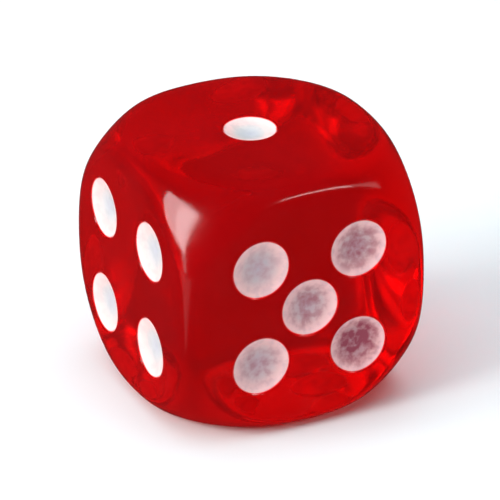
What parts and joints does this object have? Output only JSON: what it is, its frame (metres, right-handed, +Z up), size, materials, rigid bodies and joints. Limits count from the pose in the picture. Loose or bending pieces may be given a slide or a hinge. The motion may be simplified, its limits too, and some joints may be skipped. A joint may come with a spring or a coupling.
{
  "type": "six-sided die",
  "caption": "Round-cornered translucent red gaming die with shallow hollow spots filled with white paint.",
  "frame": {"origin": "middle of the six's face, on the surface that the die stands on", "axes": "+Z up through the one; +X out through the three, -X through the four, +Y through the two, -Y through the five"},
  "size_m": [0.016, 0.016, 0.016],
  "materials": {
    "red_acrylic": "polished, translucent red moulded acrylic",
    "white_enamel": "semi-gloss white enamel paint"
  },
  "bodies": {
    "root": {"die_body": "red_acrylic", "one_spot_1": "white_enamel", "two_spot_1": "white_enamel", "two_spot_2": "white_enamel", "three_spot_1": "white_enamel", "three_spot_2": "white_enamel", "three_spot_3": "white_enamel", "four_spot_1": "white_enamel", "four_spot_2": "white_enamel", "four_spot_3": "white_enamel", "four_spot_4": "white_enamel", "five_spot_1": "white_enamel", "five_spot_2": "white_enamel", "five_spot_3": "white_enamel", "five_spot_4": "white_enamel", "five_spot_5": "white_enamel", "six_spot_1": "white_enamel", "six_spot_2": "white_enamel", "six_spot_3": "white_enamel", "six_spot_4": "white_enamel", "six_spot_5": "white_enamel", "six_spot_6": "white_enamel"}
  },
  "joints": []
}
